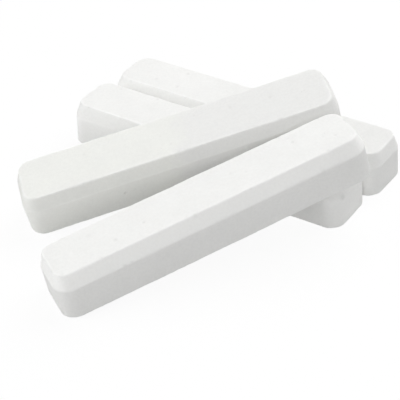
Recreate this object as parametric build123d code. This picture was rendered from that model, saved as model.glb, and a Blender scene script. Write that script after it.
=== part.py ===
"""Four moulded gymnastics chalk bars in a small pile.

Two bars lie side by side on the surface.  The other two cross over them, each with its low end
on the surface and its underside on the top edge of the lower front bar.  All four bars come
from one mould: a flat base, walls with a little draft and rounded corners, and a wide sloping
band round the flat top.

Frame: millimetres, +Z up, +X to the right, +Y away from the front of the pile.  The origin is
the centre of the pile's box, on the surface that it lies on.
"""

import os
from math import asin, atan2, cos, degrees, radians, sin

from build123d import *

# ---------------------------------------------------------------- one bar, as it leaves its mould
bar_length = 140.0  # at the shoulder, where the walls meet the sloping band
bar_width = 27.4
bar_height = 19.7
band_height = 6.0  # the sloping band round the top
side_band_inset = 2.3  # how far the band leans in along the two sides
end_band_inset = 2.1  # and at the two ends
wall_draft = 0.3  # how far each wall spreads from the shoulder down to the base
edge_wear = 0.4  # the narrow worn flat along the top edge
base_corner = 7.0  # radii of the four upright corners
shoulder_corner = 7.6
top_corner = 5.4

# ---------------------------------------------------------------- how the pile lies
rest_gap = 0.1  # dust and roughness between a leaning bar and the edge that it lies on

lower_heading = -34.9  # degrees from +X, for both lower bars
lower_gap = 0.3  # between their bases
lower_rear_slip = 2.7  # how far the rear one lies further along that heading

upper_rear_crossing = 45.8  # angle between this bar and the edge that it lies on
upper_rear_along = -0.3  # its middle, along that edge from the edge's middle
upper_rear_over = -12.8  # and past the edge, up its own slope

upper_front_heading = 23.1  # degrees from +X
upper_front_step = (6.4, -31.6)  # from the upper rear bar's near low corner to its far low corner

base_length = bar_length + 2 * wall_draft
base_width = bar_width + 2 * wall_draft
rest_height = bar_height + rest_gap
UP = Vector(0, 0, 1)


def flat_direction(angle):
    """Unit vector along the surface, `angle` degrees from +X."""
    return Vector(cos(radians(angle)), sin(radians(angle)), 0)


def outline(length, width, corner, height):
    """One level of the mould: a rectangle with round corners."""
    return Pos(0, 0, height) * RectangleRounded(length, width, corner)


def moulded_bar():
    """One bar on its base, along X, with the middle of its base at the origin."""
    band_length = bar_length - 2 * end_band_inset
    band_width = bar_width - 2 * side_band_inset
    levels = [
        outline(base_length, base_width, base_corner, 0),
        outline(bar_length, bar_width, shoulder_corner, bar_height - band_height),
        outline(band_length, band_width, top_corner, bar_height - edge_wear),
        outline(band_length - 2 * edge_wear, band_width - 2 * edge_wear, top_corner, bar_height),
    ]
    return loft(levels, ruled=True)


def reach(angle):
    """How far the base reaches from its middle, in the direction `angle` degrees from its length."""
    straight_length = base_length / 2 - base_corner
    straight_width = base_width / 2 - base_corner
    along = straight_length * abs(cos(radians(angle)))
    across = straight_width * abs(sin(radians(angle)))
    return along + across + base_corner


# The lower front bar is the reference for the rest, with the middle of its base at zero.
along_lower = flat_direction(lower_heading)
across_lower = flat_direction(lower_heading + 90)
lower_front = Plane(origin=(0, 0, 0), x_dir=along_lower, z_dir=UP)

lower_rear_middle = across_lower * (base_width + lower_gap) + along_lower * lower_rear_slip
lower_rear = Plane(origin=lower_rear_middle, x_dir=along_lower, z_dir=UP)

# The edge that both upper bars lie on: the near long edge of the lower front bar's top face.
edge_offset = bar_width / 2 - side_band_inset - edge_wear
edge_middle = UP * rest_height - across_lower * edge_offset


def lying_along_edge(crossing, along, over):
    """Plane of a bar's base that lies flat against the edge, with its lowest corner on the surface.

    The plane turns about the edge until the corner that reaches furthest down the slope is at
    height zero, so the sine of the slope is the edge's height over that reach.
    """
    slope = asin(rest_height / (reach(90 - crossing) - over))
    up_slope = across_lower * cos(slope) + UP * sin(slope)
    length_way = along_lower * cos(radians(crossing)) + up_slope * sin(radians(crossing))
    middle = edge_middle + along_lower * along + up_slope * over
    return Plane(origin=middle, x_dir=length_way, z_dir=along_lower.cross(up_slope))


def leaning_on_edge(heading, far_corner):
    """Plane of a bar's base whose low end stands square on the surface.

    `far_corner` is the far end of its low edge.  Its far long edge rests on the edge of the
    lower bar, so the tangent of its lean is the edge's height over the distance along the bar,
    seen from above, to where the two cross.
    """
    forward = flat_direction(heading)
    sideways = flat_direction(heading + 90)
    to_edge = edge_middle - far_corner
    run = to_edge.cross(along_lower).Z / forward.cross(along_lower).Z
    lean = atan2(rest_height, run)
    length_way = forward * cos(lean) + UP * sin(lean)
    middle = far_corner - sideways * (base_width / 2) + length_way * (base_length / 2)
    return Plane(origin=middle, x_dir=length_way, z_dir=length_way.cross(sideways))


upper_rear = lying_along_edge(upper_rear_crossing, upper_rear_along, upper_rear_over)
half_bar = upper_rear.x_dir * (base_length / 2) + upper_rear.y_dir * (base_width / 2)
near_low_corner = upper_rear.origin - half_bar
far_low_corner = Vector(near_low_corner.X, near_low_corner.Y, 0) + Vector(*upper_front_step)
upper_front = leaning_on_edge(upper_front_heading, far_low_corner)

places = {
    "lower_front_bar": lower_front,
    "lower_rear_bar": lower_rear,
    "upper_rear_bar": upper_rear,
    "upper_front_bar": upper_front,
}
bar = moulded_bar()
pile = {name: place * bar for name, place in places.items()}

# Move the pile so that the middle of its box is over the origin.
boxes = [solid.bounding_box() for solid in pile.values()]
middle_x = (min(box.min.X for box in boxes) + max(box.max.X for box in boxes)) / 2
middle_y = (min(box.min.Y for box in boxes) + max(box.max.Y for box in boxes)) / 2
to_origin = Pos(-middle_x, -middle_y, 0)

os.makedirs("parts", exist_ok=True)
for name, solid in pile.items():
    export_step(to_origin * solid, f"parts/{name}.step")
    middle = (to_origin * places[name].location).position
    tilt = degrees(asin(places[name].x_dir.Z))
    print(name, "base middle", middle, "rises", round(tilt, 2), "degrees")
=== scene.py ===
"""Four loose bars of gymnastics chalk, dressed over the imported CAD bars.

Each bar is one closed moulded surface with worn edges, air pits and small chips, in a dry
matt chalk. The bars lie on a plain pale floor in soft studio light.
"""

import math

import bmesh
import bpy
import numpy as np
from mathutils import Matrix, Vector


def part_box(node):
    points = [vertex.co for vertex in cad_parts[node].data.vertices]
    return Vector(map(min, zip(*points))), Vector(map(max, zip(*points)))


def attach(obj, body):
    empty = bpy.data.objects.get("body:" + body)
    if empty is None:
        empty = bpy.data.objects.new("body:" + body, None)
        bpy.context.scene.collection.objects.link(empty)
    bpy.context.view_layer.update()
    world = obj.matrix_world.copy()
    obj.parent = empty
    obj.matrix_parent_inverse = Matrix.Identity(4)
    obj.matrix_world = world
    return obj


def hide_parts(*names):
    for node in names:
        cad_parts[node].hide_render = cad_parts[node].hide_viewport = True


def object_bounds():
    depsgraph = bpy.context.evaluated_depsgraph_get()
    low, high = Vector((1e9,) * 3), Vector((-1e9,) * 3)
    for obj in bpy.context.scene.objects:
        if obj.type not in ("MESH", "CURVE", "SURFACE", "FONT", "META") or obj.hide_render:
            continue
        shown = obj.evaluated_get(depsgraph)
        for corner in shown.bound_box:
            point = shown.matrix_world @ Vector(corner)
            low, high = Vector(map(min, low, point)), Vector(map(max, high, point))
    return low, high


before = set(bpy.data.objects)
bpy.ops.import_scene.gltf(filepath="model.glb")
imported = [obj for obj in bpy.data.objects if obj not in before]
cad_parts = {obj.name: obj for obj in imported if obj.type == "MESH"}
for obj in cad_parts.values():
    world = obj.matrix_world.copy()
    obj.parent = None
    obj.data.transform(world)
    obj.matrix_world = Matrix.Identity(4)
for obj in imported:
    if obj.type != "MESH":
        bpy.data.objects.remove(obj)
cad_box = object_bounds()

MM = 0.001

# the moulded bar's own shape
BAND_HEIGHT = 6.0 * MM
SIDE_BAND_INSET = 2.3 * MM
END_BAND_INSET = 2.1 * MM
WALL_DRAFT = 0.3 * MM
BASE_CORNER = 7.0 * MM
SHOULDER_CORNER = 7.6 * MM
TOP_CORNER = 5.4 * MM

# how far each edge has worn back, and how much that varies along it
BASE_WEAR = (0.35 * MM, 0.12 * MM)
SHOULDER_WEAR = (0.6 * MM, 0.2 * MM)
TOP_WEAR = (0.6 * MM, 0.2 * MM)
# it varies in slow and in quick waves, each with a wavelength and a share, and stays within these
# times the usual wear
SLOW_WEAR = (17 * MM, 0.6)
QUICK_WEAR = (3.5 * MM, 0.4)
LEAST_WEAR = 0.4
MOST_WEAR = 2

# how much further in the front edge of each bar's top is set than its rear edge
FRONT_SET_BACK = {
    "lower_front_bar": 0.5 * MM,
    "lower_rear_bar": 1.2 * MM,
    "upper_rear_bar": 0.2 * MM,
    "upper_front_bar": 1.0 * MM,
}

# how far from the base's edge, the shoulder and the top's edge the chalk is worn, how much it
# chips there, and how much paler it is there: rubbed, with a painted highlight along the shoulder
# and the top's edge
EDGE_REACH = (0.6 * MM, 0.4 * MM, 0.75 * MM)
EDGE_CHIPPING = (1.0, 0.4, 1.0)
EDGE_PALENESS_AND_HIGHLIGHT = (0.0, 0.4, 1.0)

# how uneven the faces are: each ripple's wavelength and depth, and the share of that depth by
# which it swings; below the flat base's height nothing sinks
FACE_RIPPLES = ((14 * MM, 0.035 * MM), (2.6 * MM, 0.012 * MM))
RIPPLE_SWING = 0.5
FLAT_BASE = 0.05 * MM

# air pits that can be picked out, by bar: along the bar, across it, radius and depth, in
# millimetres, on the top face
TOP_PITS = {
    "lower_front_bar": ((-57, 9, 0.7, 0.16), (-37, 10, 0.8, 0.2), (-12, 4, 0.5, 0.15)),
    "lower_rear_bar": ((-50.5, -3.5, 0.8, 0.22), (-38, -4.5, 0.7, 0.3), (-40, 7.5, 0.8, 0.2)),
    "upper_rear_bar": ((-39, 4.5, 0.7, 0.14), (-34.5, 0.5, 0.5, 0.12), (26, 4.5, 0.7, 0.16),
                       (43.5, 3, 0.8, 0.18), (-7, -6, 0.5, 0.12), (10.5, 6.5, 0.6, 0.14)),
    "upper_front_bar": ((-40, -4, 0.8, 0.28), (-26.5, -1.5, 0.55, 0.3), (44, 4.3, 0.55, 0.4),
                        (43.5, 7.5, 0.4, 0.16), (14.5, 3, 0.7, 0.14), (20, 0, 0.6, 0.14),
                        (-48, 5.5, 1.0, 0.1)),
}
# the same on the long wall that faces the front: along the bar and up from the base
WALL_PITS = {
    "lower_front_bar": (),
    "lower_rear_bar": (),
    "upper_rear_bar": ((-27, 8.5, 0.6, 0.6), (-22.5, 9, 0.5, 0.14)),
    "upper_front_bar": ((-25.5, 9, 0.5, 0.12), (31, 6, 0.5, 0.1)),
}

# small pits on the faces and chips on the edges of each bar: how many, radii and depths
FACE_PITS = (22, (0.35 * MM, 0.7 * MM), (0.04 * MM, 0.16 * MM))
EDGE_CHIPS = (26, (0.4 * MM, 1.1 * MM), (0.04 * MM, 0.22 * MM))
# a point is on a face below the first share of edge wear, and on an edge above the second
FACE_SHARE = 0.2
EDGE_SHARE = 0.3
# how high above the base they start, and the depth at which a pit's painted shade is at its
# darkest
CLEAR_OF_BASE = 1.5 * MM
PIT_SHADE_DEPTH = 0.15 * MM

# spans of the surface's grid
LONG_SIDE_SPANS = 280
SHORT_SIDE_SPANS = 32
CORNER_SPANS = 24
BASE_ROWS = 8
BASE_WEAR_ROWS = 5
WALL_ROWS = 26
SHOULDER_WEAR_ROWS = 6
BAND_ROWS = 10
TOP_WEAR_ROWS = 7
TOP_ROWS = 26
ROW_STARTS = np.cumsum([0, BASE_ROWS, BASE_WEAR_ROWS, WALL_ROWS, SHOULDER_WEAR_ROWS, BAND_ROWS,
                        TOP_WEAR_ROWS, TOP_ROWS])
# the rows at which the worn base edge, shoulder and top edge start and end
WORN_ROWS = [(ROW_STARTS[span], ROW_STARTS[span + 1]) for span in (1, 3, 5)]
# points closer than this are welded into one
WELD = 0.001 * MM


# ---------------------------------------------------------------- where the CAD bars lie


def node_triangles(node):
    """A CAD node's triangles, as an array of three corner points each."""
    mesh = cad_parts[node].data
    mesh.calc_loop_triangles()
    points = np.empty(len(mesh.vertices) * 3, np.float32)
    mesh.vertices.foreach_get("co", points)
    corners = np.empty(len(mesh.loop_triangles) * 3, np.int32)
    mesh.loop_triangles.foreach_get("vertices", corners)
    return points.reshape(-1, 3)[corners].reshape(-1, 3, 3).astype(float)


def bar_lie(node):
    """Where a CAD bar lies: the middle of its base, its three directions and its size.

    Each triangle and the bar's middle make a wedge. The wedges' volumes give the centre of
    the solid, and their second moments give its principal directions, which are the bar's
    length, width and height.
    """
    triangles = node_triangles(node)
    triangles_middle = triangles.mean(axis=(0, 1))
    wedges = triangles - triangles_middle
    volumes = np.einsum("ij,ij->i", np.cross(wedges[:, 0], wedges[:, 1]), wedges[:, 2]) / 6
    centre = (volumes[:, None] * wedges.sum(axis=1) / 4).sum(axis=0) / volumes.sum()
    centre = centre + triangles_middle
    wedges = triangles - centre
    volumes = np.einsum("ij,ij->i", np.cross(wedges[:, 0], wedges[:, 1]), wedges[:, 2]) / 6
    sums = wedges.sum(axis=1)
    moment = np.einsum("i,ij,ik->jk", volumes, sums, sums)
    moment += np.einsum("i,icj,ick->jk", volumes, wedges, wedges)
    directions = np.linalg.eigh(moment)[1][:, ::-1]
    length_way = directions[:, 0] * np.sign(directions[0, 0])
    height_way = directions[:, 2] * np.sign(directions[2, 2])
    width_way = np.cross(height_way, length_way)
    ways = np.stack([length_way, width_way, height_way])
    spread = (triangles.reshape(-1, 3) - centre) @ ways.T
    size = spread.max(axis=0) - spread.min(axis=0)
    base_middle = centre + height_way * spread[:, 2].min()
    return base_middle, ways, size


# ---------------------------------------------------------------- the moulded bar's surface


def ripple(points, wavelength, seed, waves=22):
    """An unevenness from about -1 to 1: plane waves of random direction and phase, added up.

    The value at a point is the sum of cos(k . point + phase) over the waves, divided by the
    square root of half their number, so that its spread is about one.
    """
    random = np.random.default_rng(seed)
    ways = random.normal(size=(waves, 3))
    ways /= np.linalg.norm(ways, axis=1)[:, None]
    numbers = 2 * math.pi / (wavelength * random.uniform(0.7, 1.6, waves))
    phases = random.uniform(0, 2 * math.pi, waves)
    turns = points @ (ways * numbers[:, None]).T + phases
    return np.cos(turns).sum(axis=-1) / math.sqrt(waves / 2)


def outline_columns():
    """The columns of the grid, going once round a rounded rectangle from its right side.

    Each column has a share of the way to a corner's middle along the length and across, and
    a heading about that corner. On a corner the shares stay at one and the heading turns; on
    a straight side a share runs from one to minus one and the heading stays.
    """
    shares_along = []
    shares_across = []
    headings = []
    corners = [(1, -1), (1, 1), (-1, 1), (-1, -1)]
    sides = [SHORT_SIDE_SPANS, LONG_SIDE_SPANS, SHORT_SIDE_SPANS, LONG_SIDE_SPANS]
    for turn, side in enumerate(sides):
        start = np.array(corners[turn])
        end = np.array(corners[(turn + 1) % 4])
        share = np.arange(side) / side
        shares_along.append(start[0] + (end[0] - start[0]) * share)
        shares_across.append(start[1] + (end[1] - start[1]) * share)
        headings.append(np.full(side, turn * math.pi / 2))
        shares_along.append(np.full(CORNER_SPANS, float(end[0])))
        shares_across.append(np.full(CORNER_SPANS, float(end[1])))
        headings.append((turn + np.arange(CORNER_SPANS) / CORNER_SPANS) * math.pi / 2)
    return np.concatenate(shares_along), np.concatenate(shares_across), np.concatenate(headings)


def laid_out(levels, columns):
    """Points of the outlines at the given levels: each has a half length, a half width, a
    corner radius, a height and a shift.

    A point is the corner's middle, its shares times the half sizes less the radius, plus the
    radius times the cosine and sine of the heading, with the shift added across the bar.
    """
    along, across, heading = columns
    half_length, half_width, radius, height, shift = np.moveaxis(levels, -1, 0)
    x = along * (half_length - radius) + radius * np.cos(heading)
    y = across * (half_width - radius) + radius * np.sin(heading) + shift
    return np.stack([x, y, height + 0 * x], axis=-1)


def worn_edge(before, edge, after, wear, rows):
    """Rows of levels that round an edge between two faces.

    The wear is the distance from the edge, along either face, at which the round starts,
    measured by the levels' half length and height.
    The round is a quadratic curve whose middle control level is the sharp edge itself.
    """
    towards_before = before - edge
    towards_after = after - edge
    reach_before = np.linalg.norm(towards_before[[0, 3]])
    reach_after = np.linalg.norm(towards_after[[0, 3]])
    start = edge + towards_before * (wear / reach_before)[:, None]
    end = edge + towards_after * (wear / reach_after)[:, None]
    t = np.linspace(0, 1, rows + 1)[:, None, None]
    return start * (1 - t) ** 2 + edge * 2 * t * (1 - t) + end * t**2


def between(first, last, rows):
    """Rows of levels evenly spaced between two rows, without the two."""
    t = (np.arange(1, rows) / rows)[:, None, None]
    return first * (1 - t) + last * t


def bar_levels(size, columns, seed, set_back):
    """All rows of levels, from the middle of the base out, up the walls and in over the top."""
    half_length, half_width, height = size[0] / 2, size[1] / 2, size[2]
    shoulder_height = height - BAND_HEIGHT
    spine = half_length - half_width
    base_middle = np.array([spine, 0, 0, 0, 0])
    base = np.array([half_length, half_width, BASE_CORNER, 0, 0])
    shoulder_length = half_length - WALL_DRAFT
    shoulder_width = half_width - WALL_DRAFT
    shoulder = np.array([shoulder_length, shoulder_width, SHOULDER_CORNER, shoulder_height, 0])
    top_length = shoulder_length - END_BAND_INSET
    top_width = shoulder_width - SIDE_BAND_INSET - set_back / 2
    top = np.array([top_length, top_width, TOP_CORNER, height, set_back / 2])
    top_middle = np.array([top_length - top_width, 0, 0, height, set_back / 2])

    rim = laid_out(np.broadcast_to(shoulder, (len(columns[0]), len(shoulder))), columns)
    wears = []
    for turn, (usual, varying) in enumerate((BASE_WEAR, SHOULDER_WEAR, TOP_WEAR)):
        slow = SLOW_WEAR[1] * ripple(rim, SLOW_WEAR[0], seed + 10 + turn)
        quick = QUICK_WEAR[1] * ripple(rim, QUICK_WEAR[0], seed + 20 + turn)
        wear = usual + varying * (slow + quick)
        wears.append(np.clip(wear, LEAST_WEAR * usual, MOST_WEAR * usual))

    base_round = worn_edge(base_middle, base, shoulder, wears[0], BASE_WEAR_ROWS)
    shoulder_round = worn_edge(base, shoulder, top, wears[1], SHOULDER_WEAR_ROWS)
    top_round = worn_edge(shoulder, top, top_middle, wears[2], TOP_WEAR_ROWS)
    middle_row = np.broadcast_to(base_middle, base_round[:1].shape)
    last_row = np.broadcast_to(top_middle, base_round[:1].shape)
    return np.concatenate([
        middle_row,
        between(middle_row[0], base_round[0], BASE_ROWS),
        base_round,
        between(base_round[-1], shoulder_round[0], WALL_ROWS),
        shoulder_round,
        between(shoulder_round[-1], top_round[0], BAND_ROWS),
        top_round,
        between(top_round[-1], last_row[0], TOP_ROWS),
        last_row,
    ])


def outward(points):
    """The outward direction at each grid point, from the steps to its neighbours."""
    round_step = np.roll(points, -1, axis=1) - np.roll(points, 1, axis=1)
    up_step = np.gradient(points, axis=0)
    normal = np.cross(round_step, up_step)
    length = np.linalg.norm(normal, axis=-1, keepdims=True)
    return normal / np.maximum(length, 1e-12)


def dents(points, places):
    """How far small hollows sink the surface: each is deep times exp(-(distance / radius)^3)."""
    sink = np.zeros(points.shape[:-1])
    for place, radius, deep in places:
        reach = np.linalg.norm(points - place, axis=-1) / radius
        sink += deep * np.exp(-(reach**3))
    return sink


def scattered_dents(points, usable, seed, count, radii, deeps):
    """Random hollows, drawn from the usable grid points that are clear of the base."""
    random = np.random.default_rng(seed)
    candidates = points[usable & (points[..., 2] > CLEAR_OF_BASE)]
    places = candidates[random.integers(0, len(candidates), count)]
    shares = random.uniform(0, 1, (count, 2)) ** 2
    sizes = radii[0] + (radii[1] - radii[0]) * shares[:, 0]
    depths = deeps[0] + (deeps[1] - deeps[0]) * shares[:, 1]
    return list(zip(places, sizes, depths))


def edge_shares(points, strengths):
    """How strongly each point is marked by the edges: each edge's strength times exp(-(distance
    walked from it up or down the profile / its reach)^2), the largest of the three edges. It gives
    the chipping, and the paleness that is partly rubbed chalk and partly a painted highlight."""
    row_steps = np.linalg.norm(np.diff(points, axis=0), axis=-1)
    walked = np.concatenate([np.zeros((1, points.shape[1])), np.cumsum(row_steps, axis=0)])
    share = np.zeros(points.shape[:2])
    for (first, last), reach, strength in zip(WORN_ROWS, EDGE_REACH, strengths):
        edge = walked[(first + last) // 2 + 1]
        share = np.maximum(share, strength * np.exp(-((walked - edge) / reach) ** 2))
    return share


def painted_face_shading(face_shading, around):
    """The painted light and shade on each grid point's face, as a factor on the chalk's colour:
    the wall's value up to the shoulder, then the band's and the top's, each passing to the next
    over the rows of the worn edge between them."""
    wall, band, top = face_shading
    shoulder, rim = WORN_ROWS[1:]
    rows = np.arange(ROW_STARTS[-1] + 1)
    by_row = np.interp(rows, (*shoulder, *rim), (wall, band, band, top))
    return np.repeat(by_row[:, None], around, axis=1)


def bar_hollows(node, size, points, seed):
    """A bar's hollows, each with its place, radius and depth: the pits that can be picked out on
    its top and front wall, then the small pits on its faces and the chips on its edges."""
    hollows = [(np.array([along * MM, across * MM, size[2]]), radius * MM, deep * MM)
               for along, across, radius, deep in TOP_PITS[node]]
    hollows += [(np.array([along * MM, -size[1] / 2, up * MM]), radius * MM, deep * MM)
                for along, up, radius, deep in WALL_PITS[node]]
    chipping = edge_shares(points, EDGE_CHIPPING)
    hollows += scattered_dents(points, chipping < FACE_SHARE, seed + 1, *FACE_PITS)
    hollows += scattered_dents(points, chipping > EDGE_SHARE, seed + 2, *EDGE_CHIPS)
    return hollows


def carry(mesh, name, values):
    """Give each of the mesh's points a value that its material can read."""
    carried = mesh.attributes.new(name, "FLOAT", "POINT")
    carried.data.foreach_set("value", values.astype(np.float32).ravel())


def closed_mesh(name, points, carried):
    """The mesh of a grid whose columns close on each other and whose first and last rows each
    fold flat on a line: a face joins each point to the next round and the row above."""
    rows, around = points.shape[:2]
    index = np.arange(rows * around).reshape(rows, around)
    here = index[:-1]
    above = index[1:]
    quads = np.stack([here, np.roll(here, -1, axis=1), np.roll(above, -1, axis=1), above], axis=-1)
    mesh = bpy.data.meshes.new(name)
    mesh.from_pydata(points.reshape(-1, 3).tolist(), [], quads.reshape(-1, 4).tolist())
    for value_name, values in carried.items():
        carry(mesh, value_name, values)
    welded = bmesh.new()
    welded.from_mesh(mesh)
    bmesh.ops.remove_doubles(welded, verts=welded.verts, dist=WELD)
    bmesh.ops.recalc_face_normals(welded, faces=welded.faces)
    welded.to_mesh(mesh)
    welded.free()
    mesh.polygons.foreach_set("use_smooth", np.ones(len(mesh.polygons), bool))
    return mesh


def chalk_bar(name, node, body, seed, finish, face_shading):
    """One bar: the rounded outline carried up the worn profile, then dented and laid in place.

    A point is outline(level(row, column), column), moved inwards along its normal by the
    hollows and the ripples, and carried to the CAD bar's place.
    """
    base_middle, ways, size = bar_lie(node)
    columns = outline_columns()
    points = laid_out(bar_levels(size, columns, seed, FRONT_SET_BACK[node]), columns)
    paleness_and_highlight = edge_shares(points, EDGE_PALENESS_AND_HIGHLIGHT)
    hollows = bar_hollows(node, size, points, seed)
    sink = dents(points, hollows)
    for turn, (wavelength, deep) in enumerate(FACE_RIPPLES):
        sink += deep * (1 + RIPPLE_SWING * ripple(points, wavelength, seed + 3 + turn))
    sink[points[..., 2] < FLAT_BASE] = 0
    points = points - outward(points) * sink[..., None]

    carried = {
        # rubbed paleness along the edges, partly a painted highlight on the shoulder and the top's
        # edge
        "worn": paleness_and_highlight,
        # painted shade in the pits and chips, darkest where they are deepest
        "painted_pit_shade": np.clip(dents(points, hollows) / PIT_SHADE_DEPTH, 0, 1),
        # painted light and shade: a factor for each face, wall, band and top
        "face_light_and_shade": painted_face_shading(face_shading, points.shape[1]),
    }
    mesh = closed_mesh(name, points @ ways + base_middle, carried)
    mesh.materials.append(finish)
    bar = bpy.data.objects.new(name, mesh)
    bpy.context.scene.collection.objects.link(bar)
    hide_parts(node)
    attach(bar, body)


# ---------------------------------------------------------------- chalk


# the chalk's patterns, as features to the metre, from clouds to the finest grain
CLOUDS = 70
PATCH_LINE = 110
RUBBED_AND_HIGHLIGHT_PATCHES = 260
ROUGH_PATCHES = 300
COARSE_GRAIN = 800
SPECKLES = 900
FINE_GRAIN = 3200

# each bar's patterns start this many metres further on, along X, Y and Z
PATTERN_STEP = (0.37, 0.11, 0.23)

WHITE = (1, 1, 1, 1)
SPECKLE_TONE = (0.965, 0.965, 0.965, 1)
GLOSS_LEVEL = 0.2
ROUGHNESS = (0.86, 0.98)
# how far a fully rubbed edge, with its painted highlight, and a deep pit, with its painted shade,
# pass to their own tones
RUBBED_AND_HIGHLIGHT_SHARE = 0.7
PIT_SHADE_SHARE = 0.5
# each grain's bump: how strong it is, and how high
FINE_BUMP = (0.35, 0.06 * MM)
COARSE_BUMP = (0.3, 0.12 * MM)
# how far the line where a bar's white changes wanders, and how far before and after that line
# the change starts and ends
PATCH_RAGGEDNESS = 22 * MM
PATCH_BEFORE = 3 * MM
PATCH_AFTER = 4 * MM


def plug(tree, value, socket):
    """Feed a socket from another node's socket, or set it to a number or a colour."""
    if isinstance(value, bpy.types.NodeSocket):
        tree.links.new(value, socket)
    else:
        socket.default_value = value


def computed(tree, operation, *values):
    """The result of a Math node; each value is a number or a socket."""
    node = tree.nodes.new("ShaderNodeMath")
    node.operation = operation
    for value, socket in zip(values, node.inputs):
        plug(tree, value, socket)
    return node.outputs[0]


def mixed(tree, kind, share, first, second):
    """A colour mix; the share and the colours are values or sockets.

    A Mix node takes its share at 0 and its two colours at 6 and 7, and gives its colour at 2.
    """
    node = tree.nodes.new("ShaderNodeMix")
    node.data_type = "RGBA"
    node.blend_type = kind
    plug(tree, share, node.inputs[0])
    plug(tree, first, node.inputs[6])
    plug(tree, second, node.inputs[7])
    return node.outputs[2]


def scaled(tree, source, low, high, to_low, to_high):
    """A number carried from one range to another, and kept within it."""
    node = tree.nodes.new("ShaderNodeMapRange")
    node.inputs["From Min"].default_value = low
    node.inputs["From Max"].default_value = high
    node.inputs["To Min"].default_value = to_low
    node.inputs["To Max"].default_value = to_high
    tree.links.new(source, node.inputs["Value"])
    return node.outputs["Result"]


def carried_value(tree, name, output="Fac"):
    """A value that the mesh carries at each point."""
    node = tree.nodes.new("ShaderNodeAttribute")
    node.attribute_name = name
    return node.outputs[output]


def noise(tree, place, scale, detail, rough):
    """Noise with about scale features to the metre."""
    node = tree.nodes.new("ShaderNodeTexNoise")
    node.inputs["Scale"].default_value = scale
    node.inputs["Detail"].default_value = detail
    node.inputs["Roughness"].default_value = rough
    tree.links.new(place, node.inputs["Vector"])
    return node.outputs["Fac"]


def grain(tree, height, strength, distance):
    """A bump of the given height pattern."""
    node = tree.nodes.new("ShaderNodeBump")
    node.inputs["Strength"].default_value = strength
    node.inputs["Distance"].default_value = distance
    tree.links.new(height, node.inputs["Height"])
    return node


def two_whites(tree, place, coordinates, left_colour, right_colour, start):
    """One white passing to another to the right of a ragged line: where X plus noise times the
    raggedness passes the start."""
    apart = tree.nodes.new("ShaderNodeSeparateXYZ")
    tree.links.new(coordinates, apart.inputs["Vector"])
    wander = noise(tree, place, PATCH_LINE, 3, 0.5)
    ragged = computed(tree, "MULTIPLY_ADD", wander, PATCH_RAGGEDNESS, apart.outputs["X"])
    line = start + PATCH_RAGGEDNESS / 2
    share = scaled(tree, ragged, line - PATCH_BEFORE, line + PATCH_AFTER, 0, 1)
    return mixed(tree, "MIX", share, left_colour, right_colour)


def chalk_colour(tree, place, coordinates, tint):
    """The chalk's colour: cloudy and finely speckled, times the painted light and shade of its
    face, then paler in patches along the edges, where they are rubbed and carry a painted
    highlight, and darker with painted shade in the pits and chips."""
    cloudy = scaled(tree, noise(tree, place, CLOUDS, 3, 0.5), 0.3, 0.7, 0, 1)
    colour = mixed(tree, "MIX", cloudy, tint["shade"], tint["light"])
    if "patch" in tint:
        colour = two_whites(tree, place, coordinates, colour, tint["patch"], tint["patch_start"])
    speckled = scaled(tree, noise(tree, place, SPECKLES, 4, 0.6), 0.35, 0.65, 0, 1)
    speckles = mixed(tree, "MIX", speckled, SPECKLE_TONE, WHITE)
    colour = mixed(tree, "MULTIPLY", 1.0, colour, speckles)
    # painted light and shade: each face made lighter or darker by its own factor
    colour = mixed(tree, "MULTIPLY", 1.0, colour, carried_value(tree, "face_light_and_shade", "Color"))
    # paler where the edges are rubbed, partly a painted highlight on the shoulder and the top's
    # edge
    patchy = scaled(tree, noise(tree, place, RUBBED_AND_HIGHLIGHT_PATCHES, 3, 0.6), 0.35, 0.6, 0.25, 1)
    rubbed_and_highlight = computed(tree, "MULTIPLY", carried_value(tree, "worn"), patchy)
    colour = mixed(tree, "MIX", scaled(tree, rubbed_and_highlight, 0, 1, 0, RUBBED_AND_HIGHLIGHT_SHARE), colour, tint["worn"])
    # painted shade in the pits and chips
    painted_pit_shade = scaled(tree, carried_value(tree, "painted_pit_shade"), 0, 1, 0, PIT_SHADE_SHARE)
    return mixed(tree, "MIX", painted_pit_shade, colour, tint["pit_shade_tone"])


def chalk(name, tint, number):
    """Dry pressed chalk: nearly white, faintly mottled, finely grained, with painted light and
    shade on its faces, a little lighter along the edges where they are rubbed and carry a painted
    highlight, and with painted shade in its air pits."""
    material = bpy.data.materials.new(name)
    material.use_nodes = True
    tree = material.node_tree
    tree.nodes.clear()
    output = tree.nodes.new("ShaderNodeOutputMaterial")
    shader = tree.nodes.new("ShaderNodeBsdfPrincipled")
    shader.inputs["Specular IOR Level"].default_value = GLOSS_LEVEL
    tree.links.new(shader.outputs["BSDF"], output.inputs["Surface"])
    coordinates = tree.nodes.new("ShaderNodeTexCoord").outputs["Object"]
    placing = tree.nodes.new("ShaderNodeMapping")
    placing.inputs["Location"].default_value = [number * step for step in PATTERN_STEP]
    tree.links.new(coordinates, placing.inputs["Vector"])
    place = placing.outputs["Vector"]

    tree.links.new(chalk_colour(tree, place, coordinates, tint), shader.inputs["Base Color"])
    rough = scaled(tree, noise(tree, place, ROUGH_PATCHES, 3, 0.5), 0.3, 0.7, *ROUGHNESS)
    tree.links.new(rough, shader.inputs["Roughness"])
    fine = grain(tree, noise(tree, place, FINE_GRAIN, 3, 0.6), *FINE_BUMP)
    coarse = grain(tree, noise(tree, place, COARSE_GRAIN, 3, 0.55), *COARSE_BUMP)
    tree.links.new(fine.outputs["Normal"], coarse.inputs["Normal"])
    tree.links.new(coarse.outputs["Normal"], shader.inputs["Normal"])
    return material


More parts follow.
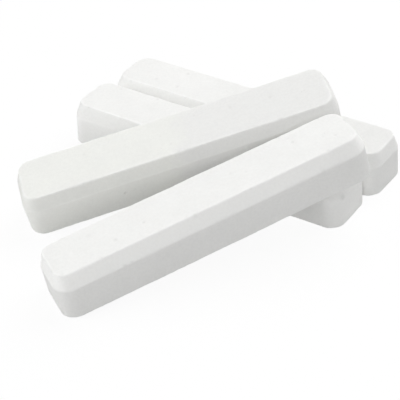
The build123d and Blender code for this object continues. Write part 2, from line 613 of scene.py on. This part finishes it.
WHITE_CHALK = {
    "light": (0.94, 0.94, 0.925, 1),
    "shade": (0.915, 0.915, 0.9, 1),
    # rubbed edges, with their painted highlight
    "worn": (0.975, 0.975, 0.965, 1),
    # painted shade in the pits
    "pit_shade_tone": (0.8, 0.8, 0.785, 1),
}
WARM_CHALK = {
    "patch": (0.9, 0.9, 0.885, 1),
    "patch_start": (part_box("upper_rear_bar")[0].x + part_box("upper_rear_bar")[1].x) / 2,
    "light": (0.935, 0.94, 0.905, 1),
    "shade": (0.91, 0.915, 0.885, 1),
    # rubbed edges, with their painted highlight
    "worn": (0.965, 0.968, 0.95, 1),
    # painted shade in the pits
    "pit_shade_tone": (0.78, 0.78, 0.76, 1),
}

# each bar's piece, node, number and chalk, and the painted light and shade on its walls, band and
# top: factors on that chalk's colour that make each face lighter or darker than the lamps alone
# make it
BARS = (
    ("chalk_bar_lower_front", "lower_front_bar", 1, WHITE_CHALK, (1.03, 1.02, 0.975)),
    ("chalk_bar_lower_rear", "lower_rear_bar", 2, WHITE_CHALK, (0.98, 0.98, 0.985)),
    ("chalk_bar_upper_rear", "upper_rear_bar", 3, WARM_CHALK, (1.03, 0.955, 0.975)),
    ("chalk_bar_upper_front", "upper_front_bar", 4, WHITE_CHALK, (0.94, 1.045, 0.985)),
)
for piece, node, number, tint, face_shading in BARS:
    finish = chalk(piece.replace("bar", "finish"), tint, number)
    chalk_bar(piece, node, node, 100 * number, finish, face_shading)


# ---------------------------------------------------------------- floor, light and camera


# the floor's reach from the middle in metres, the grey in which it lights the bars, and how much
# of the white that is seen on it is its own
FLOOR_REACH = 2.5
FLOOR_GREY = 0.65
FLOOR_OWN_WHITE = 0.93

# each lamp's name, place, side and power, in metres and watts
LAMPS = (
    ("front_soft_box", (0.0, -0.92, 0.92), 1.5, 6.7),
    ("low_front_soft_box", (0.0, -1.11, 0.45), 0.9, 2.9),
    ("left_soft_box", (-1.11, 0.0, 0.45), 0.9, 8.0),
    ("rear_right_soft_box", (0.65, 0.65, 0.92), 1.5, 19.5),
)

# where the camera stands: its turn round the bars, its rise above the floor and its tip on its
# side, in degrees, and its distance from the point that it looks at, which lies left of the
# middle of the bars and nearer the front
CAMERA_TURN = -0.26
CAMERA_RISE = 35.97
CAMERA_TIP = -3.08
CAMERA_DISTANCE = 0.6022
AIM_LEFT = 5.5 * MM
AIM_FORWARD = 9.4 * MM
# focal length and sensor width in millimetres
LENS = 124.26
SENSOR = 36


def studio_floor():
    """A plain floor under the bars: pale grey in the light that it sends back to them, and seen
    white, most of it by its own share, so that only a soft shadow shows round the bars."""
    mesh = bpy.data.meshes.new("studio_floor")
    low = cad_box[0].z
    corners = [(-FLOOR_REACH, -FLOOR_REACH, low), (FLOOR_REACH, -FLOOR_REACH, low),
               (FLOOR_REACH, FLOOR_REACH, low), (-FLOOR_REACH, FLOOR_REACH, low)]
    mesh.from_pydata(corners, [], [(0, 1, 2, 3)])
    floor = bpy.data.objects.new("studio_floor", mesh)
    bpy.context.scene.collection.objects.link(floor)
    material = bpy.data.materials.new("pale_floor")
    material.use_nodes = True
    tree = material.node_tree
    tree.nodes.clear()
    output = tree.nodes.new("ShaderNodeOutputMaterial")
    paint = tree.nodes.new("ShaderNodeBsdfDiffuse")
    own_white = tree.nodes.new("ShaderNodeEmission")
    own_white.inputs["Color"].default_value = WHITE
    own_white.inputs["Strength"].default_value = 1.0
    path = tree.nodes.new("ShaderNodeLightPath")
    seen = computed(tree, "MAXIMUM", path.outputs["Is Camera Ray"], path.outputs["Is Glossy Ray"])
    tone = computed(tree, "MULTIPLY_ADD", seen, 1 - FLOOR_GREY, FLOOR_GREY)
    tree.links.new(tone, paint.inputs["Color"])
    mix = tree.nodes.new("ShaderNodeMixShader")
    tree.links.new(computed(tree, "MULTIPLY", seen, FLOOR_OWN_WHITE), mix.inputs[0])
    tree.links.new(paint.outputs[0], mix.inputs[1])
    tree.links.new(own_white.outputs[0], mix.inputs[2])
    tree.links.new(mix.outputs[0], output.inputs["Surface"])
    mesh.materials.append(material)


def studio_air():
    """The surround: white where it is seen behind the bars, and no light of its own on them."""
    world = bpy.data.worlds.new("studio_air")
    world.use_nodes = True
    bpy.context.scene.world = world
    tree = world.node_tree
    tree.nodes.clear()
    output = tree.nodes.new("ShaderNodeOutputWorld")
    behind = tree.nodes.new("ShaderNodeBackground")
    behind.inputs["Color"].default_value = WHITE
    path = tree.nodes.new("ShaderNodeLightPath")
    tree.links.new(path.outputs["Is Camera Ray"], behind.inputs["Strength"])
    tree.links.new(behind.outputs[0], output.inputs["Surface"])


def soft_box(name, place, side, power):
    """A square soft light that looks at the middle of the bars."""
    data = bpy.data.lights.new(name, "AREA")
    data.size = side
    data.energy = power
    lamp = bpy.data.objects.new(name, data)
    bpy.context.scene.collection.objects.link(lamp)
    lamp.location = place
    lamp.rotation_mode = "QUATERNION"
    lamp.rotation_quaternion = (-Vector(place)).to_track_quat("-Z", "Y")


def studio_camera():
    """A long lens above the front of the bars, tipped a few degrees on its side."""
    turn = math.radians(CAMERA_TURN)
    rise = math.radians(CAMERA_RISE)
    tip = math.radians(CAMERA_TIP)
    middle = (cad_box[0] + cad_box[1]) / 2
    aim = Vector((middle.x - AIM_LEFT, middle.y - AIM_FORWARD, cad_box[0].z))
    back = Vector((-math.sin(turn) * math.cos(rise), -math.cos(turn) * math.cos(rise),
                   math.sin(rise)))
    level = Vector((math.cos(turn), -math.sin(turn), 0))
    upright = back.cross(level)
    right = level * math.cos(tip) + upright * math.sin(tip)
    up = upright * math.cos(tip) - level * math.sin(tip)
    data = bpy.data.cameras.new("studio_camera")
    data.sensor_width = SENSOR
    data.lens = LENS
    data.clip_start = 0.01
    data.clip_end = 20
    camera = bpy.data.objects.new("studio_camera", data)
    bpy.context.scene.collection.objects.link(camera)
    camera.matrix_world = Matrix.Translation(aim + back * CAMERA_DISTANCE) @ Matrix(
        (right, up, back)).transposed().to_4x4()
    bpy.context.scene.camera = camera


studio_floor()
studio_air()
for lamp in LAMPS:
    soft_box(*lamp)
studio_camera()
bpy.context.scene.view_settings.view_transform = "Standard"
